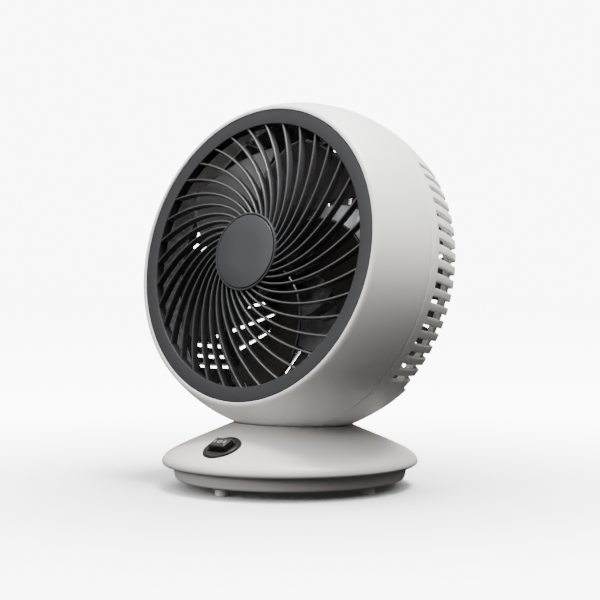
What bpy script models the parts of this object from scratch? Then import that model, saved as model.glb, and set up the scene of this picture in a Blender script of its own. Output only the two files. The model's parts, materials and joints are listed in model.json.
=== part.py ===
"""Ball-shaped desk fan: a tilting round head on a flared base with a three-position rocker switch.

The base stands on the floor plane with its axis on world Z, and the fan blows towards -Y.
The head hangs from one empty at the centre of the ball, whose local Z is the fan's own axis,
forwards. The switch hangs from another empty, whose local Z stands out of the base cover.
Sizes are in metres.
"""
from math import cos, log, pi, radians, sin, sqrt

import bmesh
import bpy
from mathutils import Matrix, Vector

GAP = 0.0003                  # between touching pieces

# Ball: a spheroid about the fan's axis, flatter front to back
BALL_RADIUS = 0.1008
BALL_HALF_DEPTH = 0.0960
BALL_BEHIND_AXIS = 0.0067     # the ball sits a little behind the base's axis
BALL_HEIGHT = 0.1319
REST_TILT = radians(11.6)     # the head looks up by this much at rest
WALL = 0.0025
PARTING_Z = 0.00125           # joint line between front and rear shell

# Front opening and grille
LIP_Z = 0.0417
LIP_INNER_RADIUS = 0.0885
FLANGE_TOP_Z = 0.0368
FLANGE_INNER_RADIUS = 0.0840
GRILLE_RADIUS = LIP_INNER_RADIUS - GAP
GRILLE_FACE_Z = 0.0414
OPENING_RADIUS = 0.0795
COLLAR_OUTER_RADIUS = 0.0820
COLLAR_BACK_Z = 0.0350
HUB_RADIUS = 0.0236
HUB_FACE_Z = 0.0482
BADGE_RADIUS = 0.0219
VANE_COUNT = 36
VANE_PHASE = radians(6.6)
VANE_THICKNESS = 0.0013
VANE_DEPTH = 0.0050
VANE_SWIRL = radians(43.7)    # turn of a vane for each e-fold of radius

# Rear shell: cut off behind the widest part, vented, with a round chin that stays in the neck
CORNER_Z = 0.0277             # the back's rounded corner starts this far behind the centre
CORNER_RADIUS = 0.0045
BACK_DEPTH = 0.0460
SLOT_PITCHES = 74             # side slot positions in a full turn
SIDE_SLOTS_EACH_WAY = 8       # side slots above and below the middle one
SIDE_SLOT_ANGLE = radians(2.2)
BACK_SLOTS = 37
BACK_SLOT_ANGLE = radians(3.6)
SHELL_STEPS = 48
SIDE_SLOT_FRONT_Z = -0.0060
SLOT_FLOOR_RADIUS = 0.0910
BACK_SLOT_OUTER_RADIUS = 0.0860
BACK_SLOT_INNER_RADIUS = 0.0500
CHIN_DECK = 0.0660              # level of the chin's deck below the fan's axis
CHIN_SLOT_LIMIT = 0.0620      # back slots stop at this level above the chin
TILT_SLOT_HALF_WIDTH = 0.0060
TILT_SLOT_FRONT_Z = 0.0095
TILT_SLOT_BACK_Z = 0.0500

# Shell screws and motor bosses
SHELL_BOSS_RING = 0.0945
SHELL_BOSS_RADIUS = 0.0045
SHELL_BOSS_REACH = 0.0090
SHELL_BOSS_ANGLES = [radians(a) for a in (32, 142, 218, 328)]
MOTOR_BOSS_RING = 0.0420
MOTOR_BOSS_RADIUS = 0.0038
MOTOR_BOSS_ANGLES = [radians(a) for a in (30, 150, 270)]
SCREW_SHANK_RADIUS = 0.0011
PILOT_RADIUS = 0.0013
CLEARANCE_RADIUS = 0.0018

# Motor, along the fan's axis
SHAFT_RADIUS = 0.0030
BORE_RADIUS = SHAFT_RADIUS + GAP
STATOR_FRONT_Z = -0.0040
STATOR_BACK_Z = -0.0130
MOTOR_RADIUS = 0.0300
MOTOR_BOLT_RING = 0.0266
MOTOR_MOUNT_RING = 0.0220
BRACKET_FRONT_Z = -0.0263

# Impeller
BLADE_COUNT = 5
BLADE_TIP_RADIUS = 0.0750
BLADE_ROOT_RADIUS = 0.0180
BLADE_MIDDLE_Z = 0.0235
BLADE_THICKNESS = 0.0016
BLADE_PHASE = radians(70.0)

# Base
RIM_RADIUS = 0.0776
COVER_WALL = 0.0028
COVER_BOTTOM_Z = 0.0136
TRAY_RADIUS = 0.0694
TRAY_BOTTOM_Z = 0.0050
TRAY_FLOOR = 0.0022
FOOT_RING = 0.0600
FOOT_RADIUS = 0.0042
TRAY_SCREW_RING = 0.0500
CORD_HEIGHT = 0.0103
CORD_HOLE_RADIUS = 0.0029
NECK_GAP = 0.0005
SEAT_RADIUS = 0.0272
SEAT_BOTTOM_Z = 0.0220
TOWER_RADIUS = 0.0154

# Tilt clamp, on the vertical line through the ball's centre
SADDLE_OUTER_RADIUS = 0.0950
SADDLE_INNER_RADIUS = 0.0910
SADDLE_HALF_WIDTH = 0.0170
SADDLE_HALF_LENGTH = 0.0180
SADDLE_BOSS_RADIUS = 0.0050
TILT_BOLT_RADIUS = 0.0030
SPRING_RADIUS = 0.0076
SPRING_WIRE = 0.0007
SPRING_TURNS = 3.5

# Switch
SWITCH_RING = 0.0600
SWITCH_SLOPE = radians(24.5)
BEZEL_RADIUS = 0.0115
SWITCH_BODY_RADIUS = 0.0097
ROCKER_HALF_LENGTH = 0.0067
ROCKER_HALF_WIDTH = 0.0050

PLASTIC_WHITE = ((0.80, 0.79, 0.77), 0.38, 0.0)
PLASTIC_DARK = ((0.045, 0.046, 0.050), 0.45, 0.0)
PLASTIC_BLACK = ((0.012, 0.012, 0.012), 0.35, 0.0)
PLASTIC_BLADE = ((0.030, 0.027, 0.026), 0.35, 0.0)
RUBBER_GREY = ((0.55, 0.54, 0.52), 0.80, 0.0)
RUBBER_BLACK = ((0.03, 0.03, 0.03), 0.80, 0.0)
STEEL = ((0.50, 0.50, 0.51), 0.35, 1.0)
STEEL_DARK = ((0.16, 0.16, 0.17), 0.55, 1.0)
COPPER = ((0.72, 0.33, 0.15), 0.35, 1.0)
BRASS = ((0.78, 0.60, 0.28), 0.35, 1.0)


# ---------------------------------------------------------------- scene and helpers

def clear_scene():
    for item in list(bpy.data.objects):
        bpy.data.objects.remove(item, do_unlink=True)


def new_collection(name):
    group = bpy.data.collections.new(name)
    bpy.context.scene.collection.children.link(group)
    return group


clear_scene()
PARTS = new_collection("ball_desk_fan")
CUTTERS = new_collection("cutters")


def new_empty(name, location, tilt_about_x):
    empty = bpy.data.objects.new(name, None)
    empty.location = location
    empty.rotation_euler = (tilt_about_x, 0.0, 0.0)
    PARTS.objects.link(empty)
    return empty


HEAD = new_empty("head_frame", (0.0, BALL_BEHIND_AXIS, BALL_HEIGHT), pi / 2 - REST_TILT)
SWITCH = new_empty("switch_frame", (0.0, -SWITCH_RING, 0.0277), SWITCH_SLOPE)


def material(name, look):
    """One Principled material from a (colour, roughness, metallic) look."""
    colour, roughness, metallic = look
    mat = bpy.data.materials.new(name)
    mat.use_nodes = True
    shader = mat.node_tree.nodes["Principled BSDF"]
    shader.inputs["Base Color"].default_value = (*colour, 1.0)
    shader.inputs["Roughness"].default_value = roughness
    shader.inputs["Metallic"].default_value = metallic
    mat.diffuse_color = (*colour, 1.0)
    return mat


def add_object(name, mesh, look, parent=None, location=(0, 0, 0), spin=0.0):
    """Place a mesh as a part, or as a cutter when it has no look."""
    item = bpy.data.objects.new(name, mesh)
    item.parent = parent
    item.location = location
    item.rotation_euler = (0.0, 0.0, spin)
    if look is None:
        item.hide_render = True
        item.display_type = 'WIRE'
        CUTTERS.objects.link(item)
    else:
        mesh.materials.append(material(name + "_finish", look))
        PARTS.objects.link(item)
    return item


def mesh_from(name, bm, smooth=True):
    bmesh.ops.recalc_face_normals(bm, faces=bm.faces)
    mesh = bpy.data.meshes.new(name)
    bm.to_mesh(mesh)
    bm.free()
    if smooth:
        mesh.shade_smooth()
        mesh.set_sharp_from_angle(angle=radians(35))
    return mesh


def turned(name, profile, look, steps=48, parent=None, location=(0, 0, 0)):
    """A turned solid. The profile runs down its outer side from the top, as (radius, z) points.

    A profile with both ends on the axis is closed by the axis, any other is a closed loop.
    """
    bm = bmesh.new()
    points = [bm.verts.new((r, 0.0, z)) for r, z in profile]
    for here, there in zip(points, points[1:]):
        bm.edges.new((here, there))
    on_axis = profile[0][0] == 0.0 and profile[-1][0] == 0.0
    if not on_axis:
        bm.edges.new((points[-1], points[0]))
    mesh = bpy.data.meshes.new(name)
    bm.to_mesh(mesh)
    bm.free()
    item = add_object(name, mesh, look, parent, location)
    screw = item.modifiers.new("turn", 'SCREW')
    screw.axis = 'Z'
    screw.steps = steps
    screw.render_steps = steps
    screw.use_merge_vertices = True
    screw.merge_threshold = 0.00001
    screw.use_smooth_shade = True
    return item


def rods(name, places, radius, bottom, top, look, steps=12, parent=None):
    """Upright cylinders at (x, y) places, as one mesh."""
    bm = bmesh.new()
    for x, y in places:
        matrix = Matrix.Translation((x, y, (bottom + top) / 2))
        bmesh.ops.create_cone(bm, cap_ends=True, segments=steps, radius1=radius,
                              radius2=radius, depth=top - bottom, matrix=matrix)
    return add_object(name, mesh_from(name, bm), look, parent)


def block(name, low, high, look, parent=None, spin=0.0, bevel=0.0):
    bm = bmesh.new()
    size = [b - a for a, b in zip(low, high)]
    middle = [(a + b) / 2 for a, b in zip(low, high)]
    matrix = Matrix.Translation(middle) @ Matrix.Diagonal((*size, 1.0))
    bmesh.ops.create_cube(bm, size=1.0, matrix=matrix)
    item = add_object(name, mesh_from(name, bm, smooth=False), look, parent, spin=spin)
    if bevel:
        edge = item.modifiers.new("edges", 'BEVEL')
        edge.width = bevel
        edge.segments = 2
    return item


def boolean(item, other, operation, solver='EXACT'):
    """Cut, join or cross one solid with a hidden one."""
    step = item.modifiers.new(operation.lower() + "_" + other.name, 'BOOLEAN')
    step.operation = operation
    step.solver = solver
    step.object = other
    return item


def polar(radius, angle):
    """A point at an angle turned from straight up towards +X, in the head's frame."""
    return radius * sin(angle), radius * cos(angle)


def skin_radius(z, inset=0.0):
    """Radius of the ball's surface at height z along the fan's axis."""
    return (BALL_RADIUS - inset) * sqrt(1 - (z / (BALL_HALF_DEPTH - inset)) ** 2)


def arc(centre, radius, start, end, count):
    """Points on a circle in the (radius, z) plane, angles from +r towards +z."""
    angles = [start + (end - start) * i / (count - 1) for i in range(count)]
    return [(centre[0] + radius * cos(a), centre[1] + radius * sin(a)) for a in angles]


def steps_between(start, end, count):
    return [start + (end - start) * i / (count - 1) for i in range(count)]


def screw_fastener(name, place, seat_z, length, look, parent=None, head_radius=0.0026,
                   head_height=0.0016, shank_radius=SCREW_SHANK_RADIUS, up=True):
    """A pan-head screw whose head rests on seat_z; its shank goes up or down from there."""
    profile = [(0.0, head_height), (head_radius * 0.8, head_height), (head_radius, head_height * 0.5),
               (head_radius, 0.0), (shank_radius, 0.0), (shank_radius, -length),
               (0.0, -length - shank_radius)]
    item = turned(name, profile, look, steps=8, parent=parent, location=(*place, seat_z))
    if up:
        item.rotation_euler = (pi, 0.0, 0.0)
    return item


# ---------------------------------------------------------------- head: shells

def shell_boss_places():
    return [polar(SHELL_BOSS_RING, a) for a in SHELL_BOSS_ANGLES]


def tilt_slot(name):
    """The slot under the ball that the tilt clamp passes through."""
    low = (-TILT_SLOT_HALF_WIDTH, -0.115, -TILT_SLOT_BACK_Z)
    high = (TILT_SLOT_HALF_WIDTH, -0.075, TILT_SLOT_FRONT_Z)
    return block(name, low, high, None, HEAD)


def make_front_shell():
    bottom = PARTING_Z + GAP / 2
    outer_z = [0.0411, 0.0300, 0.0160, bottom]
    inner_z = [bottom, 0.0180, 0.0345]
    profile = [(LIP_INNER_RADIUS, LIP_Z), (skin_radius(LIP_Z) - 0.0006, LIP_Z)]
    profile += [(skin_radius(z), z) for z in outer_z]
    profile += [(skin_radius(z, WALL), z) for z in inner_z]
    profile += [(FLANGE_INNER_RADIUS, 0.0345), (FLANGE_INNER_RADIUS, FLANGE_TOP_Z),
                (LIP_INNER_RADIUS, FLANGE_TOP_Z)]
    shell = turned("front_shell", profile, PLASTIC_WHITE, SHELL_STEPS, HEAD)
    places = shell_boss_places()
    bosses = rods("front_bosses", places, SHELL_BOSS_RADIUS, bottom + 0.0003,
                  bottom + SHELL_BOSS_REACH, None, 10, HEAD)
    pilots = rods("front_pilots", places, PILOT_RADIUS, -0.001, bottom + 0.0075, None, 8, HEAD)
    boolean(shell, bosses, 'UNION')
    boolean(shell, pilots, 'DIFFERENCE')
    boolean(shell, tilt_slot("front_tilt_slot"), 'DIFFERENCE')
    return shell


def back_profile(inset):
    """The cut-off back's outline, from just outside the skin to the middle of the back."""
    rim_radius = skin_radius(CORNER_Z) - CORNER_RADIUS
    rim_z = -CORNER_Z - CORNER_RADIUS
    corner = [(rim_radius + 0.0058 - 0.8 * inset, rim_z + 0.0068 + 0.8 * inset),
              (rim_radius + 0.0028 - 0.8 * inset, rim_z + 0.0017 + 0.8 * inset),
              (rim_radius - 0.4 * inset, rim_z + inset)]
    drop = BACK_DEPTH + rim_z
    dome = [(rim_radius * 0.55, rim_z + inset - drop * 0.70)]
    return corner + dome + [(0.0, -BACK_DEPTH + inset)]


def back_cut_profile(inset):
    """Everything behind the back's outline, as a closed turned profile."""
    edge = back_profile(inset)
    return [edge[-1]] + edge[-2::-1] + [(0.115, edge[0][1]), (0.115, -0.090), (0.0, -0.090)]


def chin_zone(name, inset):
    """Where the ball's skin carries on behind the cut-off back, below a level deck."""
    low = (-0.120, -0.120, -0.100)
    high = (0.120, -CHIN_DECK - inset, -0.005)
    return block(name, low, high, None, HEAD)


def rear_body(name, inset, top, look):
    """The rear half of the ball, inset from its skin, with the back cut off above the chin."""
    end = CHIN_DECK + 0.0020 + inset
    end_z = -(BALL_HALF_DEPTH - inset) * sqrt(1 - (end / (BALL_RADIUS - inset)) ** 2)
    widest = skin_radius(0.0, inset)
    levels = (-0.0130, -0.0260, -0.0390, -0.0510, -0.0600)
    skin = [(skin_radius(z, inset), z) for z in levels]
    profile = [(0.0, top), (widest, top), (widest, -0.0010)] + skin + [(end, end_z), (0.0, end_z)]
    body = turned(name, profile, look, SHELL_STEPS, HEAD)
    behind = turned(name + "_behind", back_cut_profile(inset), None, SHELL_STEPS, HEAD)
    boolean(behind, chin_zone(name + "_chin", inset), 'DIFFERENCE', 'MANIFOLD')
    return boolean(body, behind, 'DIFFERENCE', 'MANIFOLD')


def slot_wedges(name, angles, inner_radius, outer_radius, back_z, front_z, width_angle):
    """Radial slots whose width grows with the radius."""
    bm = bmesh.new()
    half = width_angle / 2
    for angle, outer in zip(angles, outer_radius):
        size = (1.0, outer - inner_radius, front_z - back_z)
        middle = (0.0, (inner_radius + outer) / 2, (front_z + back_z) / 2)
        matrix = Matrix.Translation(middle) @ Matrix.Diagonal((*size, 1.0))
        box = bmesh.ops.create_cube(bm, size=1.0, matrix=matrix)["verts"]
        for v in box:
            v.co.x = (1 if v.co.x > 0 else -1) * v.co.y * half
        bmesh.ops.rotate(bm, verts=box, cent=(0, 0, 0), matrix=Matrix.Rotation(-angle, 3, 'Z'))
    return add_object(name, mesh_from(name, bm, smooth=False), None, HEAD)


def side_slot_angles():
    pitch = 2 * pi / SLOT_PITCHES
    counts = range(-SIDE_SLOTS_EACH_WAY, SIDE_SLOTS_EACH_WAY + 1)
    return [side + n * pitch for side in (pi / 2, 3 * pi / 2) for n in counts]


def back_slot_reach(angle):
    """How far out a back slot may run: it stops short of the chin."""
    below = -cos(angle)
    reach = CHIN_SLOT_LIMIT / below if below > 0.1 else BACK_SLOT_OUTER_RADIUS
    return min(reach, BACK_SLOT_OUTER_RADIUS)


def make_rear_shell():
    top = PARTING_Z - GAP / 2
    shell = rear_body("rear_shell", 0.0, top, PLASTIC_WHITE)
    boolean(shell, rear_body("rear_cavity", WALL, 0.010, None), 'DIFFERENCE', 'MANIFOLD')

    sides = side_slot_angles()
    side_slots = slot_wedges("side_slots", sides, SLOT_FLOOR_RADIUS, [0.112] * len(sides),
                             -0.0360, SIDE_SLOT_FRONT_Z, SIDE_SLOT_ANGLE)
    boolean(shell, side_slots, 'DIFFERENCE', 'MANIFOLD')
    around = [(pi / 2 + 2 * pi * n / BACK_SLOTS) % (2 * pi) for n in range(BACK_SLOTS)]
    back_slots = slot_wedges("back_slots", around, BACK_SLOT_INNER_RADIUS,
                             [back_slot_reach(a) for a in around], -0.0560, -0.0250, BACK_SLOT_ANGLE)
    boolean(shell, back_slots, 'DIFFERENCE', 'MANIFOLD')

    places = shell_boss_places()
    motor_places = [polar(MOTOR_BOSS_RING, a) for a in MOTOR_BOSS_ANGLES]
    bosses = rods("rear_bosses", places, SHELL_BOSS_RADIUS, top - SHELL_BOSS_REACH, top - 0.0003, None,
                  10, HEAD)
    motor_bosses = rods("motor_bosses", motor_places, MOTOR_BOSS_RADIUS, -0.0430, -0.0313, None, 10,
                        HEAD)
    holes = rods("rear_screw_holes", places, CLEARANCE_RADIUS, -0.020, 0.010, None, 8, HEAD)
    pilots = rods("motor_boss_pilots", motor_places, PILOT_RADIUS, -0.0400, -0.030, None, 8, HEAD)
    boolean(shell, bosses, 'UNION', 'MANIFOLD')
    boolean(shell, motor_bosses, 'UNION', 'MANIFOLD')
    boolean(shell, holes, 'DIFFERENCE', 'MANIFOLD')
    boolean(shell, pilots, 'DIFFERENCE', 'MANIFOLD')
    boolean(shell, tilt_slot("rear_tilt_slot"), 'DIFFERENCE', 'MANIFOLD')
    return shell


def make_shell_screws():
    seat_z = PARTING_Z - SHELL_BOSS_REACH - GAP * 1.5
    for number, place in enumerate(shell_boss_places(), 1):
        screw_fastener(f"shell_screw_{number}", place, seat_z, 0.0150, STEEL, HEAD)


# ---------------------------------------------------------------- head: grille

def vane_front_z(radius):
    """Height of a vane's front edge: flat at the ring and domed towards the hub."""
    share = (radius - HUB_RADIUS) / (OPENING_RADIUS - HUB_RADIUS)
    return GRILLE_FACE_Z - 0.0004 + 0.0066 * (1 - max(share, 0.0) ** 1.5)


def make_vanes():
    """Thin swirl vanes on logarithmic spirals, all in one mesh of separate blades."""
    bm = bmesh.new()
    radii = steps_between(HUB_RADIUS - 0.0010, OPENING_RADIUS + 0.0010, 5)
    for number in range(VANE_COUNT):
        start = VANE_PHASE + 2 * pi * number / VANE_COUNT
        rows = []
        for radius in radii:
            x, y = polar(radius, start + VANE_SWIRL * log(OPENING_RADIUS / radius))
            top = vane_front_z(radius)
            rows.append([bm.verts.new((x, y, z)) for z in (top, top - VANE_DEPTH)])
        for (a, b), (c, d) in zip(rows, rows[1:]):
            bm.faces.new((a, b, d, c))
    mesh = bpy.data.meshes.new("grille_vanes")
    bm.to_mesh(mesh)
    bm.free()
    vanes = add_object("grille_vanes", mesh, None, HEAD)
    solid = vanes.modifiers.new("thickness", 'SOLIDIFY')
    solid.thickness = VANE_THICKNESS
    solid.offset = 0.0
    return vanes


def make_grille():
    ring = [(OPENING_RADIUS + 0.0006, GRILLE_FACE_Z), (GRILLE_RADIUS, GRILLE_FACE_Z),
            (GRILLE_RADIUS, FLANGE_TOP_Z + GAP), (COLLAR_OUTER_RADIUS, FLANGE_TOP_Z + GAP),
            (COLLAR_OUTER_RADIUS, COLLAR_BACK_Z), (OPENING_RADIUS, COLLAR_BACK_Z),
            (OPENING_RADIUS, GRILLE_FACE_Z - 0.0006)]
    grille = turned("front_grille", ring, PLASTIC_DARK, 48, HEAD)
    recess = BADGE_RADIUS + GAP
    recess_z = 0.0466
    hub = [(0.0, recess_z), (recess, recess_z), (recess, HUB_FACE_Z - 0.0002),
           (HUB_RADIUS - 0.0006, HUB_FACE_Z), (HUB_RADIUS, HUB_FACE_Z - 0.0006),
           (HUB_RADIUS, 0.0415), (HUB_RADIUS - 0.0022, 0.0415), (HUB_RADIUS - 0.0022, 0.0446),
           (0.0, 0.0446)]
    boolean(grille, make_vanes(), 'UNION')
    boolean(grille, turned("grille_hub", hub, None, 32, HEAD), 'UNION')

    low = recess_z + GAP
    badge = [(0.0, 0.0488), (BADGE_RADIUS * 0.6, 0.0487), (BADGE_RADIUS - 0.0005, 0.0485),
             (BADGE_RADIUS, 0.0480), (BADGE_RADIUS, low), (0.0, low)]
    turned("grille_badge", badge, PLASTIC_DARK, 32, HEAD)


# ---------------------------------------------------------------- head: motor

def ring_profile(inner, outer, low, high):
    return [(inner, high), (outer, high), (outer, low), (inner, low)]


def motor_bolt_places():
    return [polar(MOTOR_BOLT_RING, a) for a in (0.0, pi)]


def motor_mount_places():
    return [polar(MOTOR_MOUNT_RING, a) for a in MOTOR_BOSS_ANGLES]


def make_motor_covers():
    """Two cups that close the stator; each holds one bearing in a pocket."""
    bolts = motor_bolt_places()
    front_low = STATOR_FRONT_Z + GAP
    inner = MOTOR_RADIUS - 0.0018
    front = [(0.0045, 0.0092), (0.0080, 0.0092), (0.0080, 0.0060), (MOTOR_RADIUS - 0.0020, 0.0060),
             (MOTOR_RADIUS, 0.0040), (MOTOR_RADIUS, front_low), (inner, front_low), (inner, 0.0040),
             (0.0063, 0.0040), (0.0063, 0.0083), (0.0045, 0.0083)]
    cover = turned("motor_front_cover", front, STEEL, 24, HEAD)
    boolean(cover, rods("front_cover_holes", bolts, PILOT_RADIUS, -0.02, 0.02, None, 8, HEAD), 'DIFFERENCE')

    top = STATOR_BACK_Z - GAP
    rear = [(inner, top), (MOTOR_RADIUS, top), (MOTOR_RADIUS, -0.0210), (MOTOR_RADIUS - 0.0020, -0.0230),
            (0.0080, -0.0230), (0.0080, -0.0260), (0.0045, -0.0260), (0.0045, -0.0252),
            (0.0063, -0.0252), (0.0063, -0.0210), (inner, -0.0210)]
    cover = turned("motor_rear_cover", rear, STEEL, 24, HEAD)
    mounts = motor_mount_places()
    boolean(cover, rods("mount_pads", mounts, 0.0032, -0.0260, -0.0225, None, 12, HEAD), 'UNION')
    boolean(cover, rods("mount_pilots", mounts, PILOT_RADIUS, -0.030, -0.020, None, 8, HEAD), 'DIFFERENCE')
    boolean(cover, rods("rear_cover_holes", bolts, PILOT_RADIUS, -0.030, 0.0, None, 8, HEAD), 'DIFFERENCE')


def make_motor():
    make_motor_covers()
    bolts = motor_bolt_places()
    core = ring_profile(0.0135, MOTOR_RADIUS, STATOR_BACK_Z, STATOR_FRONT_Z)
    stator = turned("stator_core", core, STEEL_DARK, 24, HEAD)
    boolean(stator, rods("stator_holes", bolts, PILOT_RADIUS, -0.02, 0.0, None, 8, HEAD), 'DIFFERENCE')
    turned("winding_front", ring_profile(0.0150, 0.0248, STATOR_FRONT_Z + GAP, 0.0008), COPPER, 24, HEAD)
    turned("winding_rear", ring_profile(0.0150, 0.0248, -0.0178, STATOR_BACK_Z - GAP), COPPER, 24, HEAD)
    turned("bearing_front", ring_profile(BORE_RADIUS, 0.0060, 0.0042, 0.0080), STEEL, 20, HEAD)
    turned("bearing_rear", ring_profile(BORE_RADIUS, 0.0060, -0.0249, -0.0212), STEEL, 20, HEAD)
    for number, place in enumerate(bolts, 1):
        screw_fastener(f"motor_bolt_{number}", place, 0.0060 + GAP, 0.0300, STEEL, HEAD,
                       head_radius=0.0020, shank_radius=0.0010, up=False)


def make_bracket():
    """A stepped steel dish that carries the motor on three bosses of the back."""
    plate = 0.0018
    low = -0.0310
    profile = [(0.0100, BRACKET_FRONT_Z), (0.0290, BRACKET_FRONT_Z), (0.0325, low + plate),
               (0.0470, low + plate), (0.0470, low), (0.0317, low),
               (0.0282, BRACKET_FRONT_Z - plate), (0.0100, BRACKET_FRONT_Z - plate)]
    bracket = turned("motor_bracket", profile, STEEL, 28, HEAD)
    outer = [polar(MOTOR_BOSS_RING, a) for a in MOTOR_BOSS_ANGLES]
    inner = motor_mount_places()
    holes = rods("bracket_holes", outer + inner, CLEARANCE_RADIUS, -0.040, -0.020, None, 8, HEAD)
    boolean(bracket, holes, 'DIFFERENCE')
    for number, place in enumerate(outer, 1):
        screw_fastener(f"bracket_screw_{number}", place, low + plate + GAP, 0.0090, STEEL, HEAD, up=False)
    for number, place in enumerate(inner, 1):
        screw_fastener(f"motor_screw_{number}", place, BRACKET_FRONT_Z - plate - GAP, 0.0060, STEEL, HEAD)


# ---------------------------------------------------------------- impeller

def blade_point(radius_share, chord_share, start):
    """A point on a blade's middle surface; the chord runs clockwise, from front (-1) to rear (+1)."""
    radius = BLADE_ROOT_RADIUS + (BLADE_TIP_RADIUS - BLADE_ROOT_RADIUS) * radius_share
    half_angle = radians(27 - 2 * radius_share)
    sweep = radians(40) * radius_share ** 1.3
    x, y = polar(radius, start + sweep + chord_share * half_angle)
    half_height = 0.0080 + 0.0005 * radius_share
    z = BLADE_MIDDLE_Z - chord_share * half_height - 0.0012 * (1 - chord_share ** 2)
    return x, y, z


def make_blades():
    bm = bmesh.new()
    for number in range(BLADE_COUNT):
        start = BLADE_PHASE + 2 * pi * number / BLADE_COUNT
        rows = []
        for radius_share in steps_between(-0.02, 1.0, 5):
            chord = steps_between(-1.0, 1.0, 6)
            rows.append([bm.verts.new(blade_point(max(radius_share, 0.0), c, start)) for c in chord])
        for row, after in zip(rows, rows[1:]):
            for i in range(len(row) - 1):
                bm.faces.new((row[i], row[i + 1], after[i + 1], after[i]))
    mesh = bpy.data.meshes.new("impeller_blades")
    bm.to_mesh(mesh)
    bm.free()
    blades = add_object("impeller_blades", mesh, None, HEAD)
    solid = blades.modifiers.new("thickness", 'SOLIDIFY')
    solid.thickness = BLADE_THICKNESS
    solid.offset = 0.0
    return blades


def make_impeller():
    hub = [(BORE_RADIUS, 0.0330), (0.0150, 0.0330), (0.0180, 0.0318), (0.0190, 0.0290),
           (0.0190, 0.0125), (0.0174, 0.0125), (0.0174, 0.0300), (0.0060, 0.0310),
           (0.0060, 0.0108), (BORE_RADIUS, 0.0108)]
    impeller = turned("impeller", hub, PLASTIC_BLADE, 24, HEAD)
    boolean(impeller, make_blades(), 'UNION')
    shaft = [(0.0, 0.0352), (SHAFT_RADIUS - 0.0004, 0.0352), (SHAFT_RADIUS, 0.0348),
             (SHAFT_RADIUS, -0.0244), (0.0, -0.0244)]
    turned("motor_shaft", shaft, STEEL, 16, HEAD)
    turned("rotor", ring_profile(BORE_RADIUS, 0.0131, -0.0128, -0.0042), STEEL_DARK, 28, HEAD)
    cap = [(0.0, 0.0376), (0.0040, 0.0376), (0.0052, 0.0366), (0.0052, 0.0333),
           (BORE_RADIUS, 0.0333), (BORE_RADIUS, 0.0356), (0.0, 0.0356)]
    turned("impeller_cap_nut", cap, PLASTIC_BLACK, 16, HEAD)


# ---------------------------------------------------------------- base

def ball_cutter(name, radius, steps=44):
    """The lower part of a ball around the tilt axis, for what has to follow or clear the head."""
    widest = radians(42)
    bowl = arc((0.0, 0.0), radius, widest - pi / 2, -pi / 2, 12)
    profile = [(0.0, 0.0), (bowl[0][0], 0.0)] + bowl[:-1] + [(0.0, -radius)]
    return turned(name, profile, None, steps, location=(0.0, BALL_BEHIND_AXIS, BALL_HEIGHT))


def cover_outline():
    """Outer outline of the base cover, from the top down to the rim's lower edge."""
    return [(0.0300, 0.0402), (0.0360, 0.0379), (0.0440, 0.0345), (0.0520, 0.0311), (0.0600, 0.0277),
            (0.0670, 0.0245), (0.0720, 0.0220), (0.0752, 0.0197), (0.0770, 0.0175),
            (RIM_RADIUS, 0.0155), (0.0772, 0.0143), (0.0762, COVER_BOTTOM_Z)]


def make_cover():
    outer = cover_outline()
    slope_shift = COVER_WALL / cos(radians(23.5))
    inner = [(r - 0.0010, z - slope_shift) for r, z in reversed(outer[:8])]
    profile = outer + [(0.0730, COVER_BOTTOM_Z), (0.0730, 0.0165)] + inner[1:]
    cover = turned("base_cover", profile, PLASTIC_WHITE, 44)
    boolean(cover, ball_cutter("neck_cutter", BALL_RADIUS + NECK_GAP), 'DIFFERENCE')
    spot = rods("switch_spot_face", [(0.0, 0.0)], BEZEL_RADIUS + GAP, -0.0015, 0.012, None, 32, SWITCH)
    hole = rods("switch_hole", [(0.0, 0.0)], SWITCH_BODY_RADIUS + GAP, -0.012, 0.012, None, 24, SWITCH)
    boolean(cover, spot, 'DIFFERENCE')
    boolean(cover, hole, 'DIFFERENCE')
    sockets = rods("cover_bosses", tray_screw_places(), 0.0040, 0.0075, 0.0298, None, 12)
    boolean(cover, sockets, 'UNION')
    pilots = rods("cover_pilots", tray_screw_places(), PILOT_RADIUS, 0.0, 0.0200, None, 8)
    boolean(cover, pilots, 'DIFFERENCE')
    return cover


def cord_hole(name, radius):
    """A level hole through the back wall of the tray, where the supply cord would enter."""
    bm = bmesh.new()
    matrix = Matrix.Translation((0.0, 0.0700, CORD_HEIGHT)) @ Matrix.Rotation(pi / 2, 4, 'X')
    bmesh.ops.create_cone(bm, cap_ends=True, segments=14, radius1=radius, radius2=radius,
                          depth=0.0100, matrix=matrix)
    return add_object(name, mesh_from(name, bm), None)


def make_gland():
    """A rubber grommet in the back of the tray, with an open bore."""
    bore, body, flange = 0.0018, CORD_HOLE_RADIUS - GAP, 0.0032
    profile = [(bore, 0.0), (flange - 0.0004, 0.0), (flange, -0.0004), (flange, -0.0013),
               (body, -0.0013), (body, -0.0070), (bore, -0.0070)]
    gland = turned("cord_gland", profile, RUBBER_BLACK, 20, location=(0.0, 0.0730, CORD_HEIGHT))
    gland.rotation_euler = (-pi / 2, 0.0, 0.0)


def quarter_places(ring, offset):
    angles = [offset + n * pi / 2 for n in range(4)]
    return [(ring * sin(a), -ring * cos(a)) for a in angles]


def tray_screw_places():
    return quarter_places(TRAY_SCREW_RING, pi / 4)


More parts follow.
